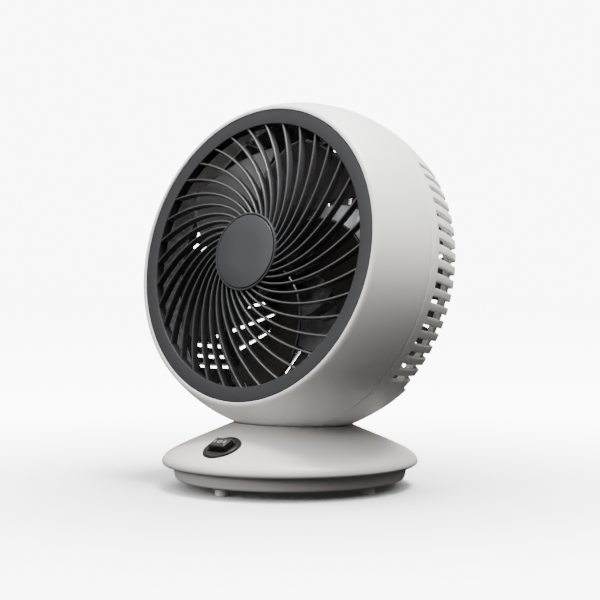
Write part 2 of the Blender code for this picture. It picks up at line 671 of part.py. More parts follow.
def make_tray():
    floor = TRAY_BOTTOM_Z + TRAY_FLOOR
    profile = [(0.0, floor), (0.0672, floor), (0.0698, 0.0162), (0.0722, 0.0162), (0.0714, 0.0133),
               (TRAY_RADIUS + 0.0003, TRAY_BOTTOM_Z + 0.0010), (TRAY_RADIUS - 0.0007, TRAY_BOTTOM_Z),
               (0.0, TRAY_BOTTOM_Z)]
    tray = turned("base_tray", profile, PLASTIC_WHITE, 44)
    centre = [(0.0, BALL_BEHIND_AXIS)]
    tower_top = SEAT_BOTTOM_Z - GAP
    tower = rods("seat_tower", centre, TOWER_RADIUS, TRAY_BOTTOM_Z + 0.001, tower_top, None, 28)
    boolean(tray, tower, 'UNION')
    bore = rods("tower_bore", centre, TOWER_RADIUS - 0.0030, floor, 0.030, None, 28)
    boolean(tray, bore, 'DIFFERENCE')
    holes = rods("tray_screw_holes", tray_screw_places(), CLEARANCE_RADIUS, 0.0, 0.010, None, 8)
    boolean(tray, holes, 'DIFFERENCE')
    boolean(tray, cord_hole("tray_cord_hole", CORD_HOLE_RADIUS), 'DIFFERENCE')
    return tray


def make_base_fittings():
    names = ("front", "right", "back", "left")
    for side, (x, y) in zip(names, quarter_places(FOOT_RING, 0.0)):
        profile = [(0.0, TRAY_BOTTOM_Z - GAP), (FOOT_RADIUS, TRAY_BOTTOM_Z - GAP), (FOOT_RADIUS, 0.0012),
                   (FOOT_RADIUS - 0.0008, 0.0), (0.0, 0.0)]
        turned("foot_" + side, profile, RUBBER_GREY, 16, location=(x, y, 0.0))
    for number, place in enumerate(tray_screw_places(), 1):
        screw_fastener(f"tray_screw_{number}", place, TRAY_BOTTOM_Z - GAP, 0.0120, STEEL,
                       head_height=0.0014)
    floor = TRAY_BOTTOM_Z + TRAY_FLOOR + GAP
    turned("ballast_plate", ring_profile(0.0240, 0.0450, floor, floor + 0.0050), STEEL_DARK, 28)


def make_seat():
    """The dark dish under the ball; the neck's rim hides all but its edge."""
    cutter_radius = BALL_RADIUS + 0.0003
    profile = [(0.0060, 0.0400), (SEAT_RADIUS, 0.0400), (SEAT_RADIUS, 0.0308), (TOWER_RADIUS, 0.0255),
               (TOWER_RADIUS, SEAT_BOTTOM_Z), (0.0060, SEAT_BOTTOM_Z)]
    seat = turned("neck_seat", profile, RUBBER_BLACK, 28, location=(0.0, BALL_BEHIND_AXIS, 0.0))
    boolean(seat, ball_cutter("seat_cutter", cutter_radius, 28), 'DIFFERENCE')


def make_saddle():
    """The clamp inside the ball: a curved pad with a boss that goes down through the slot."""
    centre = Vector((0.0, BALL_BEHIND_AXIS, BALL_HEIGHT))
    low = (-SADDLE_HALF_WIDTH, BALL_BEHIND_AXIS - SADDLE_HALF_LENGTH, BALL_HEIGHT - 0.110)
    high = (SADDLE_HALF_WIDTH, BALL_BEHIND_AXIS + SADDLE_HALF_LENGTH, BALL_HEIGHT - 0.060)
    saddle = block("tilt_saddle", low, high, PLASTIC_BLACK)
    outer = ball_cutter("saddle_outer", SADDLE_OUTER_RADIUS, 24)
    inner = ball_cutter("saddle_inner", SADDLE_INNER_RADIUS, 24)
    boolean(saddle, outer, 'INTERSECT')
    boolean(saddle, inner, 'DIFFERENCE')
    places = [(centre.x, centre.y)]
    boss = rods("saddle_boss", places, SADDLE_BOSS_RADIUS, 0.0295, 0.0390, None, 16)
    hole = rods("saddle_bore", places, TILT_BOLT_RADIUS + GAP, 0.020, 0.060, None, 12)
    boolean(saddle, boss, 'UNION')
    boolean(saddle, hole, 'DIFFERENCE')


def make_spring():
    """A compression spring between the washer and the seat."""
    low = 0.0118 + SPRING_WIRE
    high = SEAT_BOTTOM_Z - GAP - SPRING_WIRE
    count = int(SPRING_TURNS * 12) + 1
    curve = bpy.data.curves.new("spring_path", 'CURVE')
    curve.dimensions = '3D'
    curve.bevel_depth = SPRING_WIRE
    curve.bevel_resolution = 1
    curve.use_fill_caps = True
    spline = curve.splines.new('POLY')
    spline.points.add(count - 1)
    for i, point in enumerate(spline.points):
        angle = 2 * pi * SPRING_TURNS * i / (count - 1)
        height = low + (high - low) * i / (count - 1)
        point.co = (SPRING_RADIUS * cos(angle), SPRING_RADIUS * sin(angle), height, 1.0)
    path = bpy.data.objects.new("spring_path", curve)
    CUTTERS.objects.link(path)
    mesh = bpy.data.meshes.new_from_object(path)
    bpy.data.objects.remove(path, do_unlink=True)
    bm = bmesh.new()
    bm.from_mesh(mesh)
    bmesh.ops.remove_doubles(bm, verts=bm.verts, dist=0.00001)
    add_object("tilt_spring", mesh_from("tilt_spring", bm), STEEL, location=(0.0, BALL_BEHIND_AXIS, 0.0))


def make_tilt_clamp():
    make_saddle()
    make_spring()
    place = (0.0, BALL_BEHIND_AXIS)
    head_seat = BALL_HEIGHT - SADDLE_INNER_RADIUS + GAP
    length = head_seat - 0.0106
    screw_fastener("tilt_bolt", place, head_seat, length, STEEL, head_radius=0.0052,
                   head_height=0.0030, shank_radius=TILT_BOLT_RADIUS, up=False)
    bore = TILT_BOLT_RADIUS + GAP
    location = (0.0, BALL_BEHIND_AXIS, 0.0)
    turned("tilt_washer", ring_profile(bore, 0.0092, 0.0105, 0.0115), STEEL, 24, location=location)
    nut = rods("tilt_nut", [place], 0.0055, 0.0078, 0.0102, STEEL, 6)
    boolean(nut, rods("nut_bore", [place], bore, 0.0050, 0.0130, None, 12), 'DIFFERENCE')


# ---------------------------------------------------------------- switch

def make_switch():
    """A round rocker switch; its frame's origin lies on the cover's surface."""
    housing = [(0.0, 0.0008), (BEZEL_RADIUS - 0.0006, 0.0008), (BEZEL_RADIUS, 0.0002),
               (BEZEL_RADIUS, -0.0012), (SWITCH_BODY_RADIUS, -0.0012), (SWITCH_BODY_RADIUS, -0.0095),
               (0.0, -0.0095)]
    body = turned("switch_housing", housing, PLASTIC_BLACK, 32, SWITCH)
    low = (-ROCKER_HALF_LENGTH - 0.0008, -ROCKER_HALF_WIDTH - 0.0004, -0.0072)
    high = (ROCKER_HALF_LENGTH + 0.0008, ROCKER_HALF_WIDTH + 0.0004, 0.0100)
    boolean(body, block("rocker_pocket", low, high, None, SWITCH), 'DIFFERENCE')
    for number in range(3):
        x = (number - 1) * 0.0045
        low = (x - 0.0008, -0.0025, -0.0143)
        high = (x + 0.0008, 0.0025, -0.0098)
        block(f"switch_terminal_{number + 1}", low, high, BRASS, SWITCH)


def make_rocker():
    """The rocker block, narrower at its top, with its ends rounded off."""
    low = (-ROCKER_HALF_LENGTH, -ROCKER_HALF_WIDTH, -0.0050)
    high = (ROCKER_HALF_LENGTH, ROCKER_HALF_WIDTH, 0.0044)
    rocker = block("switch_rocker", low, high, PLASTIC_BLACK, SWITCH, bevel=0.0010)
    for v in rocker.data.vertices:
        if v.co.z > 0:
            v.co.x *= 0.93
            v.co.y *= 0.93


def main():
    make_cover()
    make_tray()
    make_base_fittings()
    make_gland()
    make_seat()
    make_tilt_clamp()
    make_switch()
    make_rocker()
    make_front_shell()
    make_rear_shell()
    make_shell_screws()
    make_grille()
    make_bracket()
    make_motor()
    make_impeller()


main()
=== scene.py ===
"""Ball-shaped desk fan: the finished look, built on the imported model.

The head's pieces are made in the head's frame (local Z is the fan's axis, forwards, and local Y
is up) and the switch's in the switch's frame (local Z out of the cover). Sizes are in metres.
"""
import json
from math import cos, log, pi, radians, sin, sqrt
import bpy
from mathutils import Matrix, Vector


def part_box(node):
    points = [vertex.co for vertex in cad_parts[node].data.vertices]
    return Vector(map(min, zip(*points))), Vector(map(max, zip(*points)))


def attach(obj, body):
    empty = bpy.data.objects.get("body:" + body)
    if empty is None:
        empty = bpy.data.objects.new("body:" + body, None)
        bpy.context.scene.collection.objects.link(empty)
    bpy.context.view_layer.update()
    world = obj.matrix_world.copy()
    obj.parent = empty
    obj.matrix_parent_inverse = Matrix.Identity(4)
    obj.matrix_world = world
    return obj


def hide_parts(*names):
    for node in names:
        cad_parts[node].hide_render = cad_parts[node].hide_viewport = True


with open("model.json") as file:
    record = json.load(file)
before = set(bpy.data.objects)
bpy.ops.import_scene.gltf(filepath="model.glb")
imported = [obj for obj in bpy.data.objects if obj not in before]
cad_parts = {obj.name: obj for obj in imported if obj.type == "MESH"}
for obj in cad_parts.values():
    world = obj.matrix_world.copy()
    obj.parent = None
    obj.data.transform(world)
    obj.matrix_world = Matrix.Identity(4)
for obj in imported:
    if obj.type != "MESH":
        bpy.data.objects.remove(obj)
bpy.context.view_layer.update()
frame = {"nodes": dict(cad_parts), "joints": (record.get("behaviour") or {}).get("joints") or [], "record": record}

import bmesh
import bpy
from mathutils import Matrix, Vector

JOINTS = {joint["name"]: joint for joint in frame["joints"]}

# Ball
BALL_RADIUS = 0.1008
BALL_HALF_DEPTH = 0.0960
WALL = 0.0025
REAR_WALL = 0.0024
PARTING_Z = 0.00125
SEAM_HALF_GAP = 0.00015
LIP_Z = 0.0417
LIP_INNER_RADIUS = 0.0885
CORNER_Z = 0.0277
CORNER_RADIUS = 0.0045
BACK_DEPTH = 0.0460
SLOT_PITCHES = 74
SIDE_SLOTS_EACH_WAY = 8
SIDE_SLOT_FRONT_Z = -0.0060
SIDE_SLOT_INNER_RADIUS = 0.0909
BACK_SLOT_INNER_RADIUS = 0.0500
BACK_SLOT_OUTER_RADIUS = 0.0860
BACK_FACE_Z = -0.0300
SLOT_HALF_SHARE = 0.225
SLOT_COLUMNS = (-0.5, -0.40, -0.225, -0.205, 0.0, 0.205, 0.225, 0.40)
CHIN_DECK = 0.0660
CHIN_SLOT_LIMIT = 0.0620
CHIN_FRONT_Z = -0.0262

# Slot under the ball for the tilt clamp
TILT_SLOT_HALF_WIDTH = 0.0060
TILT_SLOT_ENDS_Z = (0.0035, -0.0440)
TILT_SLOT_Y = (-0.1150, -0.0750)

# Grille
GRILLE_FACE_Z = 0.0414
OPENING_RADIUS = 0.0795
HUB_RADIUS = 0.0236
HUB_FACE_Z = 0.0482
BADGE_RADIUS = 0.0219
VANE_COUNT = 36
VANE_SWIRL = radians(43.7)
VANE_PHASE = radians(6.6)
VANE_HALF_THICKNESS = 0.00065
VANE_DEPTH = 0.0050
VANE_RISE = 0.0066

# Impeller
BLADE_COUNT = 5
BLADE_TIP_RADIUS = 0.0750
BLADE_ROOT_RADIUS = 0.0180
BLADE_MIDDLE_Z = 0.0235
BLADE_PHASE = radians(70.0)
BLADE_HALF_WIDTH_DEGREES = 27
BLADE_TAPER_DEGREES = 2
BLADE_SWEEP = radians(40)
BLADE_HALF_HEIGHT = 0.0080
BLADE_CAMBER = 0.0012
BLADE_THICKNESS = 0.0016
TIP_ROUNDING_START = 0.86

# Base
CUP_GAP = 0.0005
FOOT_CIRCLE = 0.0500
CORD_HEIGHT = 0.0103

# Switch
SWITCH_LIFT = 0.0020
POCKET_HALF = (0.0075, 0.0054)
ROCKER_HALF = (0.0066, 0.0049)
ROCKER_TOP_HALF = (0.0062, 0.0046)
MARK_TOP_Z = 0.00432
MARK_HALF_HEIGHT = 0.0013

# Stage and lights. The floor's glow grows between two distances from the middle.
FLOOR_SIZE = 9.0
FLOOR_GLOW_STRENGTHS = (0.0, 7.5)
FLOOR_GLOW_DISTANCES = (0.10, 0.45)
BACKDROP_RADIUS = 8.0
BACKDROP_HEIGHT = 12.0
BACKDROP_MIDDLE_Z = 5.95
BACKDROP_STRENGTH = 9.0
SKY_STRENGTH = 4.0
SKY_STOPS = ((0.0, 0.010), (0.02, 0.02), (0.35, 0.05), (0.62, 0.28), (0.85, 1.1))
LIGHT_TARGET = (0.0, 0.0, 0.12)
LIGHTS = (  # name, place, size in metres, power in watts
    ("key", (0.34, 0.12, 1.75), 0.7, 92.0),
    ("fill", (-0.7, -1.7, 0.8), 1.0, 14.0),
    ("front", (-0.25, -1.7, 0.55), 0.6, 6.0),
)

# Camera, solved from the outlines of the base, the front ring and the ball
CAMERA_LENS = 90.0
CAMERA_SENSOR = 36.0
CAMERA_PLACE = (0.5963, -0.6892, 0.1272)
CAMERA_DIRECTION = (-0.6491, 0.7605, -0.0161)


# ---------------------------------------------------------------- frames of the moving bodies

def basis(origin, x, y, z):
    matrix = Matrix((x, y, z)).transposed().to_4x4()
    matrix.translation = origin
    return matrix


def head_frame():
    forward = Vector(JOINTS["impeller_spin"]["axis"]).normalized()
    side = Vector((1.0, 0.0, 0.0))
    return basis(Vector(JOINTS["head_tilt"]["pos_m"]), side, forward.cross(side), forward)


def switch_frame():
    along = Vector(JOINTS["switch_rock"]["axis"]).normalized()
    side = Vector((1.0, 0.0, 0.0))
    out = side.cross(along)
    return basis(Vector(JOINTS["switch_rock"]["pos_m"]) + SWITCH_LIFT * out, side, along, out)


HEAD = head_frame()
SWITCH = switch_frame()
WORLD = Matrix.Identity(4)


# ---------------------------------------------------------------- materials

def fill_ramp(ramp, stops):
    while len(ramp.elements) < len(stops):
        ramp.elements.new(0.5)
    for element, (position, colour) in zip(ramp.elements, stops):
        element.position = position
        element.color = (*colour, 1.0)


class Look:
    """Builds one node material; each call adds a node and links it."""

    def __init__(self, name):
        self.material = bpy.data.materials.new(name)
        self.material.use_nodes = True
        self.tree = self.material.node_tree
        self.shader = self.tree.nodes["Principled BSDF"]
        self.place = self.tree.nodes.new("ShaderNodeTexCoord").outputs["Object"]

    def node(self, kind, settings=(), **inputs):
        made = self.tree.nodes.new(kind)
        for key, value in settings:
            setattr(made, key, value)
        for key, value in inputs.items():
            socket = made.inputs[key.replace("_", " ")]
            if isinstance(value, bpy.types.NodeSocket):
                self.tree.links.new(value, socket)
            else:
                socket.default_value = value
        return made

    def noise(self, scale, detail=4.0, roughness=0.55):
        made = self.node("ShaderNodeTexNoise", Vector=self.place, Scale=scale, Detail=detail,
                         Roughness=roughness)
        return made.outputs["Fac"]

    def ramp(self, factor, stops):
        made = self.node("ShaderNodeValToRGB", Fac=factor)
        fill_ramp(made.color_ramp, stops)
        return made.outputs["Color"]

    def spread(self, factor, low, high, start=0.3, end=0.7):
        made = self.node("ShaderNodeMapRange", Value=factor)
        made.inputs["From Min"].default_value = start
        made.inputs["From Max"].default_value = end
        made.inputs["To Min"].default_value = low
        made.inputs["To Max"].default_value = high
        return made.outputs["Result"]

    def mix(self, factor, first, second):
        made = self.node("ShaderNodeMix", (("data_type", 'RGBA'),))
        given = ((0, factor), (6, first), (7, second))
        for socket, value in ((made.inputs[number], value) for number, value in given):
            if isinstance(value, bpy.types.NodeSocket):
                self.tree.links.new(value, socket)
            elif isinstance(value, tuple):
                socket.default_value = (*value, 1.0)
            else:
                socket.default_value = value
        return made.outputs[2]

    def edges(self):
        """1 along sharp outer edges, from the mesh's own curvature."""
        point = self.node("ShaderNodeNewGeometry").outputs["Pointiness"]
        return self.spread(point, 0.0, 1.0, 0.515, 0.58)

    def bump(self, height, strength, distance):
        made = self.node("ShaderNodeBump", Height=height, Strength=strength, Distance=distance)
        return made.outputs["Normal"]

    def link(self, socket, value):
        target = self.shader.inputs[socket]
        if isinstance(value, bpy.types.NodeSocket):
            self.tree.links.new(value, target)
        else:
            target.default_value = value


def shade(colour, share):
    return tuple(c * share for c in colour)


def moulded(name, colour, roughness, grain=0.00003, specular=0.5):
    """Moulded plastic: faint mottling, a fine spark-eroded grain and slightly worn edges."""
    look = Look(name)
    cloud = look.noise(18.0, 5.0)
    tint = look.ramp(cloud, [(0.30, shade(colour, 0.965)), (0.70, shade(colour, 1.02))])
    edge_colour = tuple(min(1.0, c * 1.10 + 0.012) for c in colour)
    worn = look.spread(look.edges(), 0.0, 0.5, 0.0, 1.0)
    look.link("Base Color", look.mix(worn, tint, edge_colour))
    smear = look.noise(55.0, 6.0, 0.65)
    look.link("Roughness", look.spread(smear, roughness - 0.05, roughness + 0.06))
    fine = look.noise(2600.0, 2.0)
    look.link("Normal", look.bump(fine, 0.35, grain))
    look.link("Specular IOR Level", specular)
    return look.material


def metal(name, colour, roughness, dark=0.75):
    """Plated or pressed metal with fine scratches and dull patches."""
    look = Look(name)
    patches = look.noise(40.0, 6.0, 0.7)
    look.link("Base Color", look.ramp(patches, [(0.30, shade(colour, dark)), (0.65, colour)]))
    look.link("Metallic", 1.0)
    look.link("Roughness", look.spread(look.noise(150.0, 4.0), roughness - 0.08, roughness + 0.12))
    lines = look.node("ShaderNodeTexWave", (("wave_type", 'RINGS'),), Vector=look.place,
                      Scale=420.0, Distortion=3.0, Detail=2.0)
    look.link("Normal", look.bump(lines.outputs["Fac"], 0.12, 0.00002))
    return look.material


def copper(name):
    """Enamelled wire wound in close turns."""
    look = Look(name)
    turns = look.node("ShaderNodeTexWave", (("wave_type", 'BANDS'), ("bands_direction", 'Z')),
                      Vector=look.place, Scale=900.0, Distortion=0.6, Detail=1.0)
    look.link("Base Color", look.ramp(turns.outputs["Fac"], [(0.1, (0.28, 0.09, 0.03)),
                                                             (0.8, (0.72, 0.30, 0.12))]))
    look.link("Metallic", 0.8)
    look.link("Roughness", look.spread(look.noise(200.0), 0.25, 0.42))
    look.link("Normal", look.bump(turns.outputs["Fac"], 0.5, 0.0002))
    return look.material


def rubber(name, colour):
    """Matt rubber with a little dust."""
    look = Look(name)
    dust = look.noise(90.0, 6.0, 0.7)
    look.link("Base Color", look.ramp(dust, [(0.35, shade(colour, 0.85)), (0.70, shade(colour, 1.12))]))
    look.link("Roughness", look.spread(look.noise(300.0), 0.68, 0.88))
    look.link("Normal", look.bump(look.noise(1800.0, 3.0), 0.4, 0.00005))
    return look.material


WHITE = moulded("white_shell", (0.790, 0.775, 0.750), 0.40)
# Painted shade: a darker copy of the shell's white plastic, for the base cover.
SHADED_BASE_WHITE = moulded("white_base_painted_shade", (0.560, 0.535, 0.515), 0.36)
# Painted shade: a darker copy of the shell's white plastic, for the tray under the cover's rim.
SHADED_TRAY_WHITE = moulded("white_tray_painted_shade", (0.660, 0.635, 0.610), 0.42)
DARK = moulded("dark_grille", (0.026, 0.026, 0.028), 0.50, grain=0.00004, specular=0.30)
BADGE = moulded("dark_badge", (0.034, 0.035, 0.039), 0.42, grain=0.00002, specular=0.35)
BLADE = moulded("smoked_blade", (0.016, 0.014, 0.013), 0.34)
BLACK = moulded("black_gloss", (0.008, 0.008, 0.008), 0.40, grain=0.00001, specular=0.25)
# Painted shade: dark grey for the shells' inner faces, standing in for the dim inside of the ball.
PAINTED_SHADE_INSIDE = moulded("shell_inside_painted_shade", (0.10, 0.097, 0.094), 0.60, specular=0.3)
# Painted light: a lighter copy of the grille's dark plastic, so the vanes' sides read as lit.
LIT_VANE = moulded("dark_vanes_painted_light", (0.036, 0.036, 0.038), 0.38, grain=0.00002, specular=0.50)
CLAMP = moulded("black_matt", (0.025, 0.025, 0.026), 0.55)
MARKS = moulded("white_marks", (0.34, 0.34, 0.33), 0.55)
FOOT = rubber("foot_rubber", (0.78, 0.77, 0.75))
BLACK_RUBBER = rubber("black_rubber", (0.022, 0.022, 0.023))
STEEL = metal("plated_steel", (0.62, 0.62, 0.63), 0.32)
SHEET = metal("pressed_steel", (0.50, 0.51, 0.52), 0.42, dark=0.6)
IRON = metal("dark_steel", (0.17, 0.165, 0.16), 0.55, dark=0.55)
BRASS = metal("brass_tag", (0.78, 0.60, 0.28), 0.30)
COPPER = copper("copper_winding")

SLOT_LOOKS = {"shell_white": WHITE, "grille_dark": DARK, "blade_smoke": BLADE, "switch_black": BLACK,
              "clamp_black": CLAMP, "foot_rubber": FOOT, "black_rubber": BLACK_RUBBER,
              "fastener_steel": STEEL, "motor_steel": IRON, "cover_steel": SHEET,
              "winding_copper": COPPER, "terminal_brass": BRASS}


def dress_cad_nodes():
    """Every carried-over node takes the finish of its material slot."""
    slots = {part["node"]: part["material_slot"] for part in frame["record"]["subparts"]}
    for name, node in frame["nodes"].items():
        node.data.materials.clear()
        node.data.materials.append(SLOT_LOOKS[slots[name]])


# ---------------------------------------------------------------- mesh helpers

def finish_mesh(name, bm, matrix, look, angle=32.0):
    bmesh.ops.recalc_face_normals(bm, faces=bm.faces)
    mesh = bpy.data.meshes.new(name)
    bm.to_mesh(mesh)
    bm.free()
    mesh.shade_smooth()
    mesh.set_sharp_from_angle(angle=radians(angle))
    item = bpy.data.objects.new(name, mesh)
    item.matrix_world = matrix
    bpy.context.scene.collection.objects.link(item)
    if look is not None:
        mesh.materials.append(look)
    return item


def as_piece(item, body, slot, *nodes):
    """The piece rides on its body and stands for these CAD nodes, which are hidden; slot is not used."""
    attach(item, body)
    if nodes:
        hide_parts(*nodes)


def lathe(name, profile, steps, matrix, look):
    """Turns a (radius, z) outline about Z. One that doesn't start and end on the axis is a loop."""
    bm = bmesh.new()
    on_axis = profile[0][0] < 1e-7 and profile[-1][0] < 1e-7
    rings = []
    for r, z in profile:
        if r < 1e-7:
            rings.append([bm.verts.new((0.0, 0.0, z))])
            continue
        turns = [2 * pi * i / steps for i in range(steps)]
        rings.append([bm.verts.new((r * cos(turn), r * sin(turn), z)) for turn in turns])
    pairs = list(zip(rings, rings[1:])) + ([] if on_axis else [(rings[-1], rings[0])])
    for a, b in pairs:
        for i in range(steps):
            j = (i + 1) % steps
            corners = [a[i % len(a)], a[j % len(a)], b[j % len(b)], b[i % len(b)]]
            distinct = list(dict.fromkeys(corners))
            if len(distinct) > 2:
                bm.faces.new(distinct)
    return finish_mesh(name, bm, matrix, look)


def corner_arc(before, corner, after, radius, steps):
    """The curve that takes a corner's place, cut back by radius or by what fits."""
    back, on = before - corner, after - corner
    reach = min(radius, back.length * 0.45, on.length * 0.45)
    start, end = corner + back.normalized() * reach, corner + on.normalized() * reach
    shares = [n / (steps - 1) for n in range(steps)]
    return [(1 - t) ** 2 * start + 2 * t * (1 - t) * corner + t * t * end for t in shares]


def rounded(profile, radius):
    """Rounds the corners of a closed outline."""
    points = [Vector(p) for p in profile]
    result = []
    for i, corner in enumerate(points):
        result += corner_arc(points[i - 1], corner, points[(i + 1) % len(points)], radius, 5)
    return [(p.x, p.y) for p in result]


def rounded_path(profile, radius, steps=5):
    """Rounds the inner corners of an open outline."""
    points = [Vector(p) for p in profile]
    result = [points[0]]
    for before, corner, after in zip(points, points[1:], points[2:]):
        result += corner_arc(before, corner, after, radius, steps)
    return [(p.x, p.y) for p in result + [points[-1]]]


def between(start, end, count):
    return [start + (end - start) * i / (count - 1) for i in range(count)]


def polar(radius, angle):
    return radius * sin(angle), radius * cos(angle)


def skin_radius(z, inset=0.0):
    return (BALL_RADIUS - inset) * sqrt(max(0.0, 1 - (z / (BALL_HALF_DEPTH - inset)) ** 2))


def cut(item, other, operation='DIFFERENCE'):
    """Applies one solid to another at once, and removes the other."""
    step = item.modifiers.new("cut", 'BOOLEAN')
    step.operation = operation
    step.solver = 'MANIFOLD'
    step.object = other
    bpy.context.view_layer.update()
    evaluated = item.evaluated_get(bpy.context.evaluated_depsgraph_get())
    mesh = bpy.data.meshes.new_from_object(evaluated)
    item.modifiers.clear()
    item.data = mesh
    bpy.data.objects.remove(other, do_unlink=True)
    mesh.shade_smooth()
    mesh.set_sharp_from_angle(angle=radians(32))


def solid_box(low, high, matrix):
    bm = bmesh.new()
    size = [b - a for a, b in zip(low, high)]
    middle = [(a + b) / 2 for a, b in zip(low, high)]
    place = Matrix.Translation(middle) @ Matrix.Diagonal((*size, 1.0))
    bmesh.ops.create_cube(bm, size=1.0, matrix=place)
    return finish_mesh("box", bm, matrix, None)


def tilt_slot():
    """The rounded slot under the ball, for the tilt clamp."""
    bm = bmesh.new()
    half = TILT_SLOT_HALF_WIDTH
    front, back = TILT_SLOT_ENDS_Z
    low, high = TILT_SLOT_Y
    outline = [(half * cos(a), front + half * sin(a)) for a in between(0.0, pi, 13)]
    outline += [(half * cos(a), back + half * sin(a)) for a in between(pi, 2 * pi, 13)]
    bottom = [bm.verts.new((x, low, z)) for x, z in outline]
    top = [bm.verts.new((x, high, z)) for x, z in outline]
    bm.faces.new(bottom)
    bm.faces.new(top)
    for i in range(len(outline)):
        j = (i + 1) % len(outline)
        bm.faces.new((bottom[i], bottom[j], top[j], top[i]))
    return finish_mesh("slot", bm, HEAD, None)


# ---------------------------------------------------------------- head shells

def paint_inside_shade(shell):
    """Faces that look at the middle of the ball take a dark grey: painted shade for the dim inside of the ball."""
    if len(shell.data.materials) < 2:
        shell.data.materials.append(PAINTED_SHADE_INSIDE)
    for face in shell.data.polygons:
        if face.normal.dot(face.center.normalized()) < -0.3 and face.center.length < 0.0990:
            face.material_index = 1


def build_front_shell():
    bottom = PARTING_Z + SEAM_HALF_GAP
    outside = between(0.0410, bottom + 0.0006, 26)
    skin = [(skin_radius(z), z) for z in outside]
    seam_radius = skin_radius(bottom)
    seam = [(seam_radius - 0.0001, bottom + 0.0003), (seam_radius - 0.0005, bottom)]
    inside = [(skin_radius(z, WALL), z) for z in between(bottom, 0.0345, 14)]
    lip_radius = skin_radius(LIP_Z)
    lip = [(LIP_INNER_RADIUS, LIP_Z - 0.0003), (LIP_INNER_RADIUS + 0.0003, LIP_Z),
           (lip_radius - 0.0007, LIP_Z), (lip_radius - 0.0002, LIP_Z - 0.0003)]
    flange = [(0.0840, 0.0345), (0.0840, 0.0368), (LIP_INNER_RADIUS, 0.0368)]
    outline = lip + skin + seam + inside + flange
    shell = lathe("front_shell_skin", outline, 192, HEAD, WHITE)
    cut(shell, tilt_slot())
    paint_inside_shade(shell)
    as_piece(shell, "head", "shell_white", "front_shell")


def rear_outline():
    """The rear shell's outline from the joint line to the plate in the middle of the back."""
    top = PARTING_Z - SEAM_HALF_GAP
    centre = (skin_radius(CORNER_Z) - CORNER_RADIUS, -CORNER_Z)
    start = [(skin_radius(top) - 0.0005, top), (skin_radius(top) - 0.0001, top - 0.0003)]
    heights = [0.0004, -0.0016, -0.0036, -0.0052, SIDE_SLOT_FRONT_Z]
    skin = [(skin_radius(z), z) for z in heights + between(-0.0085, -CORNER_Z, 9)]
    corner = [(centre[0] + CORNER_RADIUS * cos(a), centre[1] - CORNER_RADIUS * sin(a))
              for a in between(radians(11), pi / 2, 8)]
    rim_radius, rim_z = corner[-1]
    drop = BACK_DEPTH + rim_z
    radii = [0.0910, 0.0895, 0.0878, BACK_SLOT_OUTER_RADIUS] + between(0.0830, 0.0530, 11)
    radii += [BACK_SLOT_INNER_RADIUS, 0.0480, 0.0465]
    dome = [(r, rim_z - drop * (1 - (r / rim_radius) ** 2)) for r in radii]
    return start + skin + corner + dome


def slot_kind(angle):
    """Whether a side slot, and whether a back slot, crosses the pitch centred on this angle."""
    pitch = 2 * pi / SLOT_PITCHES
    count = round((angle - pi / 2) / pitch)
    from_side = min(abs((angle - side + pi) % (2 * pi) - pi) for side in (pi / 2, 3 * pi / 2))
    # The 0.4 keeps the last slot on each side clear of rounding.
    return from_side < (SIDE_SLOTS_EACH_WAY + 0.4) * pitch, count % 2 == 0


def build_rear_shell():
    """A grid of columns that follow the slots, given its wall by Solidify and rounded by Bevel."""
    close = 1e-6
    outline = rear_outline()
    side_rows = [i for i, (r, z) in enumerate(outline)
                 if z <= SIDE_SLOT_FRONT_Z + close and r >= SIDE_SLOT_INNER_RADIUS]
    pitch = 2 * pi / SLOT_PITCHES
    bm = bmesh.new()
    columns = [(pi / 2 + n * pitch, share) for n in range(SLOT_PITCHES) for share in SLOT_COLUMNS]
    grid = []
    for centre, share in columns:
        angle = centre + share * pitch
        grid.append([bm.verts.new((r * sin(angle), r * cos(angle), z)) for r, z in outline])
    for i, (centre, share) in enumerate(columns):
        j = (i + 1) % len(columns)
        in_slot = -SLOT_HALF_SHARE - close < share < SLOT_HALF_SHARE - close
        side, back = slot_kind(centre)
        # Back slots end above the chin, whose height is the limit below the axis.
        below = -cos(centre)
        reach = min(BACK_SLOT_OUTER_RADIUS, CHIN_SLOT_LIMIT / below if below > 0.1 else 1.0)
        for k in range(len(outline) - 1):
            (r0, z0), (r1, _) = outline[k], outline[k + 1]
            open_side = side and k in side_rows and k + 1 in side_rows
            open_back = (back and z0 < BACK_FACE_Z and r1 >= BACK_SLOT_INNER_RADIUS - close
                         and r0 <= reach + close)
            if in_slot and (open_side or open_back):
                continue
            bm.faces.new((grid[i][k], grid[j][k], grid[j][k + 1], grid[i][k + 1]))
    shell = finish_mesh("rear_shell_skin", bm, HEAD, WHITE)
    # The wall's inner side takes the dark grey: painted shade for the dim inside of the ball.
    shell.data.materials.append(PAINTED_SHADE_INSIDE)
    wall = shell.modifiers.new("wall", 'SOLIDIFY')
    wall.thickness = REAR_WALL
    wall.offset = -1.0
    wall.use_even_offset = True
    wall.material_offset = 1
    edge = shell.modifiers.new("edges", 'BEVEL')
    edge.width = 0.00045
    edge.segments = 2
    edge.limit_method = 'ANGLE'
    edge.angle_limit = radians(50)
    as_piece(shell, "head", "shell_white", "rear_shell")


